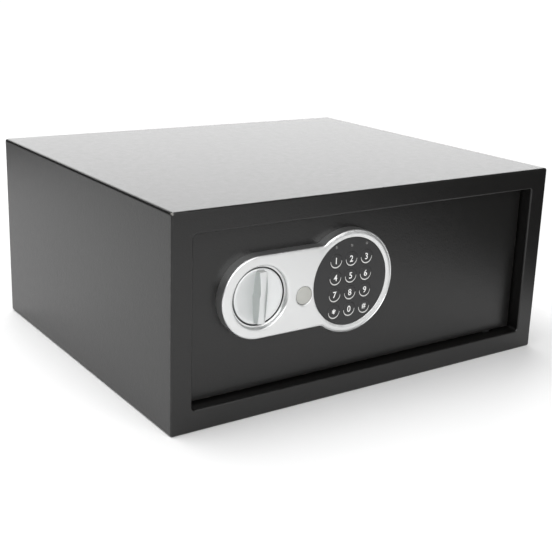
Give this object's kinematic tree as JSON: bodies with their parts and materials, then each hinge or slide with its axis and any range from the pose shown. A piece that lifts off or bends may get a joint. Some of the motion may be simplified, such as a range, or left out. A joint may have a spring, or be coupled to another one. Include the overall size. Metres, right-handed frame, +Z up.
{
  "type": "in room safe",
  "caption": "Compact laptop safe: folded steel box with a recessed hinged door, turning knob, round keypad, two sliding bolts and a covered key lock.",
  "frame": {"origin": "centre of the safe body's footprint, on the underside of its floor; the knob's grip stands 1.8 mm in front of the body", "axes": "+X to the right seen from the front, +Y from the front to the back, +Z up; the door faces -Y"},
  "size_m": [0.43, 0.3718, 0.192],
  "materials": {
    "body_paint": "hammered powder coat, satin",
    "steel": "zinc plated",
    "mat_felt": "needle felt",
    "panel_silver": "metallic painted plastic",
    "fascia_black": "fine grained",
    "key_black": "fine grained",
    "led_clear": "clear",
    "cap_grey": "satin",
    "knob_chrome": "satin chrome, lathe turned",
    "brass": "turned",
    "board_green": "solder resist",
    "nylon_white": "natural nylon",
    "coil_tape": "coil tape over copper",
    "black_plastic": "moulded",
    "cell_wrap": "sleeved cells",
    "button_red": "moulded",
    "ribbon_grey": "flat cable",
    "wire_black": "insulated wire"
  },
  "bodies": {
    "safe_body": {"body_wrap": "body_paint", "back_panel": "body_paint", "front_frame": "body_paint", "floor_mat": "mat_felt", "hinge_brackets": "body_paint", "thrust_washer": "black_plastic"},
    "door": {"door_plate": "body_paint", "hinge_lugs": "body_paint", "hinge_pins": "steel", "cover_posts": "steel", "inner_cover": "body_paint", "cover_screws": "steel", "control_panel": "panel_silver", "panel_screws": "steel", "keypad_disc": "fascia_black", "keypad_board": "board_green", "led_left": "led_clear", "led_middle": "led_clear", "led_right": "led_clear", "lock_cylinder": "steel", "lock_nut": "steel", "knob_bush": "brass", "carriage_guides": "steel", "solenoid_frame": "steel", "solenoid_coil": "coil_tape", "solenoid_spring": "steel", "control_board": "board_green", "board_posts": "nylon_white", "battery_holder": "black_plastic", "batteries": "cell_wrap", "ribbon_cable": "ribbon_grey", "battery_lead": "wire_black", "solenoid_lead": "wire_black"},
    "turning_knob": {"knob": "knob_chrome", "knob_spindle": "steel", "knob_cam": "steel", "cam_pin": "steel", "cam_screw": "steel"},
    "bolt_work": {"bolt_carriage": "steel", "bolt_upper": "steel", "bolt_lower": "steel"},
    "plunger": {"solenoid_plunger": "steel"},
    "lock_core": {"lock_plug": "brass", "lock_cam": "steel"},
    "key_lock_cap": {"override_cap": "cap_grey"},
    "battery_hatch": {"battery_cover": "black_plastic"},
    "reset_push": {"reset_button": "button_red"},
    "push_key_1": {"key_1": "key_black"},
    "push_key_2": {"key_2": "key_black"},
    "push_key_3": {"key_3": "key_black"},
    "push_key_4": {"key_4": "key_black"},
    "push_key_5": {"key_5": "key_black"},
    "push_key_6": {"key_6": "key_black"},
    "push_key_7": {"key_7": "key_black"},
    "push_key_8": {"key_8": "key_black"},
    "push_key_9": {"key_9": "key_black"},
    "push_key_star": {"key_star": "key_black"},
    "push_key_0": {"key_0": "key_black"},
    "push_key_hash": {"key_hash": "key_black"}
  },
  "joints": [
    {"name": "door_hinge", "type": "hinge", "parent": "safe_body", "child": "door", "pos_m": [0.167, -0.1635, 0.096], "axis": [0, 0, 1], "range_deg": [0, 105]},
    {"name": "knob_turn", "type": "hinge", "parent": "door", "child": "turning_knob", "pos_m": [-0.1272, -0.178, 0.1077], "axis": [0, -1, 0], "range_deg": [0, 70]},
    {"name": "bolt_slide", "type": "slide", "parent": "door", "child": "bolt_work", "axis": [-1, 0, 0], "range_m": [0, 0.01376]},
    {"name": "plunger_slide", "type": "slide", "parent": "door", "child": "plunger", "axis": [0, 0, 1], "range_m": [0, 0.004], "deforming": ["solenoid_spring"]},
    {"name": "override_turn", "type": "hinge", "parent": "door", "child": "lock_core", "pos_m": [-0.0817, -0.165, 0.1022], "axis": [0, -1, 0], "range_deg": [-90, 0]},
    {"name": "cap_pull", "type": "slide", "parent": "door", "child": "key_lock_cap", "axis": [0, -1, 0], "range_m": [0, 0.012]},
    {"name": "hatch_slide", "type": "slide", "parent": "door", "child": "battery_hatch", "axis": [1, 0, 0], "range_m": [0, 0.07]},
    {"name": "reset_press", "type": "slide", "parent": "door", "child": "reset_push", "axis": [0, -1, 0], "range_m": [0, 0.0015], "stiffness_N_per_m": 200},
    {"name": "key_1_press", "type": "slide", "parent": "door", "child": "push_key_1", "axis": [0, 1, 0], "range_m": [0, 0.0008], "stiffness_N_per_m": 300},
    {"name": "key_2_press", "type": "slide", "parent": "door", "child": "push_key_2", "axis": [0, 1, 0], "range_m": [0, 0.0008], "stiffness_N_per_m": 300},
    {"name": "key_3_press", "type": "slide", "parent": "door", "child": "push_key_3", "axis": [0, 1, 0], "range_m": [0, 0.0008], "stiffness_N_per_m": 300},
    {"name": "key_4_press", "type": "slide", "parent": "door", "child": "push_key_4", "axis": [0, 1, 0], "range_m": [0, 0.0008], "stiffness_N_per_m": 300},
    {"name": "key_5_press", "type": "slide", "parent": "door", "child": "push_key_5", "axis": [0, 1, 0], "range_m": [0, 0.0008], "stiffness_N_per_m": 300},
    {"name": "key_6_press", "type": "slide", "parent": "door", "child": "push_key_6", "axis": [0, 1, 0], "range_m": [0, 0.0008], "stiffness_N_per_m": 300},
    {"name": "key_7_press", "type": "slide", "parent": "door", "child": "push_key_7", "axis": [0, 1, 0], "range_m": [0, 0.0008], "stiffness_N_per_m": 300},
    {"name": "key_8_press", "type": "slide", "parent": "door", "child": "push_key_8", "axis": [0, 1, 0], "range_m": [0, 0.0008], "stiffness_N_per_m": 300},
    {"name": "key_9_press", "type": "slide", "parent": "door", "child": "push_key_9", "axis": [0, 1, 0], "range_m": [0, 0.0008], "stiffness_N_per_m": 300},
    {"name": "key_star_press", "type": "slide", "parent": "door", "child": "push_key_star", "axis": [0, 1, 0], "range_m": [0, 0.0008], "stiffness_N_per_m": 300},
    {"name": "key_0_press", "type": "slide", "parent": "door", "child": "push_key_0", "axis": [0, 1, 0], "range_m": [0, 0.0008], "stiffness_N_per_m": 300},
    {"name": "key_hash_press", "type": "slide", "parent": "door", "child": "push_key_hash", "axis": [0, 1, 0], "range_m": [0, 0.0008], "stiffness_N_per_m": 300}
  ],
  "couplings": [
    {"joint": "knob_turn", "follows": "bolt_slide", "rad_per_m": 88.751}
  ]
}
